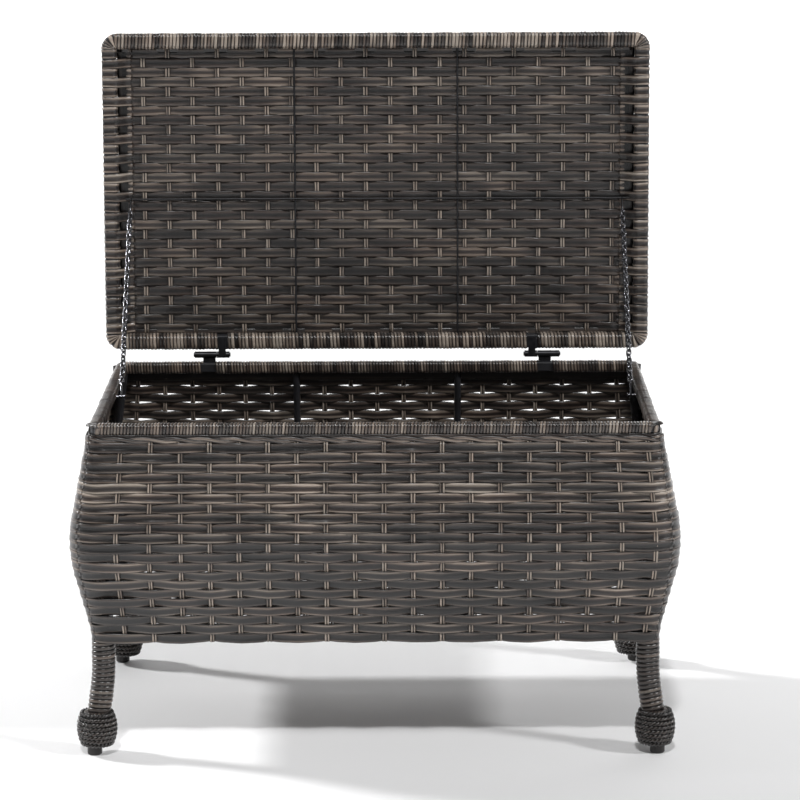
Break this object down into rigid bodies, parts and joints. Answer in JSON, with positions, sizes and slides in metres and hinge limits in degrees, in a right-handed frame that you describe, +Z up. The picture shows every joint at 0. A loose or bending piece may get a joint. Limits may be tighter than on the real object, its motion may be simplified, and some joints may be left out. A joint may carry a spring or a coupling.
{
  "type": "wicker storage coffee table",
  "caption": "Bombe-sided woven storage coffee table on wrapped legs with ball feet, its hinged lid standing open on stay chains.",
  "frame": {"origin": "on the floor under the centre of the chest", "axes": "+Z up, the front faces -Y, the hinge line runs along X at the back"},
  "size_m": [0.8632, 0.5584, 0.9787],
  "materials": {
    "wicker_weave": "satin mottled espresso resin strand",
    "wicker_wrap": "satin mottled espresso resin strand",
    "steel_frame": "powder coated, satin",
    "hinge_metal": "satin black",
    "chain_metal": "blackened, bright where it rubs",
    "foot_plastic": "moulded, satin"
  },
  "bodies": {
    "chest": {"ball_foot_back_left": "wicker_wrap", "ball_foot_back_right": "wicker_wrap", "ball_foot_front_left": "wicker_wrap", "ball_foot_front_right": "wicker_wrap", "base_rail_back": "steel_frame", "base_rail_front": "steel_frame", "base_rail_left": "steel_frame", "base_rail_right": "steel_frame", "chain_pins": "chain_metal", "corner_post_back_left": "steel_frame", "corner_post_back_right": "steel_frame", "corner_post_front_left": "steel_frame", "corner_post_front_right": "steel_frame", "floor_bars": "steel_frame", "foot_cap_back_left": "foot_plastic", "foot_cap_back_right": "foot_plastic", "foot_cap_front_left": "foot_plastic", "foot_cap_front_right": "foot_plastic", "hinge_body_leaf_left": "hinge_metal", "hinge_body_leaf_right": "hinge_metal", "hinge_pins": "hinge_metal", "leg_tube_back_left": "steel_frame", "leg_tube_back_right": "steel_frame", "leg_tube_front_left": "steel_frame", "leg_tube_front_right": "steel_frame", "leg_wrap_back_left": "wicker_wrap", "leg_wrap_back_right": "wicker_wrap", "leg_wrap_front_left": "wicker_wrap", "leg_wrap_front_right": "wicker_wrap", "rim_rail_back": "steel_frame", "rim_rail_front": "steel_frame", "rim_rail_left": "steel_frame", "rim_rail_right": "steel_frame", "rim_wrap_back": "wicker_wrap", "rim_wrap_front": "wicker_wrap", "rim_wrap_left": "wicker_wrap", "rim_wrap_right": "wicker_wrap", "wall_ribs": "steel_frame", "woven_floor": "wicker_weave", "woven_wall_back": "wicker_weave", "woven_wall_front": "wicker_weave", "woven_wall_left": "wicker_weave", "woven_wall_right": "wicker_weave"},
    "lid": {"hinge_lid_leaf_left": "hinge_metal", "hinge_lid_leaf_right": "hinge_metal", "lid_panel": "wicker_weave", "lid_rail_back": "steel_frame", "lid_rail_front": "steel_frame", "lid_rail_left": "steel_frame", "lid_rail_right": "steel_frame", "lid_wires": "steel_frame", "lid_wrap_back": "wicker_wrap", "lid_wrap_front": "wicker_wrap", "lid_wrap_left": "wicker_wrap", "lid_wrap_right": "wicker_wrap"},
    "chain_lower_left": {"chain_lower_left": "chain_metal"},
    "chain_lower_right": {"chain_lower_right": "chain_metal"},
    "chain_upper_left": {"chain_upper_left": "chain_metal"},
    "chain_upper_right": {"chain_upper_right": "chain_metal"}
  },
  "joints": [
    {"name": "lid_hinge", "type": "hinge", "parent": "chest", "child": "lid", "pos_m": [0, 0.245, 0.487], "axis": [1, 0, 0], "range_deg": [0, 92]},
    {"name": "chain_upper_hang_left", "type": "hinge", "parent": "lid", "child": "chain_upper_left", "pos_m": [-0.375, 0.26054, 0.7256], "axis": [1, 0, 0], "range_deg": [-50, 0]},
    {"name": "chain_lower_hang_left", "type": "hinge", "parent": "chest", "child": "chain_lower_left", "pos_m": [-0.375, 0.02, 0.466], "axis": [1, 0, 0], "range_deg": [-138, 0]},
    {"name": "chain_upper_hang_right", "type": "hinge", "parent": "lid", "child": "chain_upper_right", "pos_m": [0.375, 0.26054, 0.7256], "axis": [1, 0, 0], "range_deg": [-50, 0]},
    {"name": "chain_lower_hang_right", "type": "hinge", "parent": "chest", "child": "chain_lower_right", "pos_m": [0.375, 0.02, 0.466], "axis": [1, 0, 0], "range_deg": [-138, 0]}
  ],
  "couplings": [
    {"joint": "chain_upper_hang_left", "follows": "lid_hinge", "ratio": -0.5346},
    {"joint": "chain_lower_hang_left", "follows": "lid_hinge", "ratio": -1.4911},
    {"joint": "chain_upper_hang_right", "follows": "lid_hinge", "ratio": -0.5346},
    {"joint": "chain_lower_hang_right", "follows": "lid_hinge", "ratio": -1.4911}
  ]
}
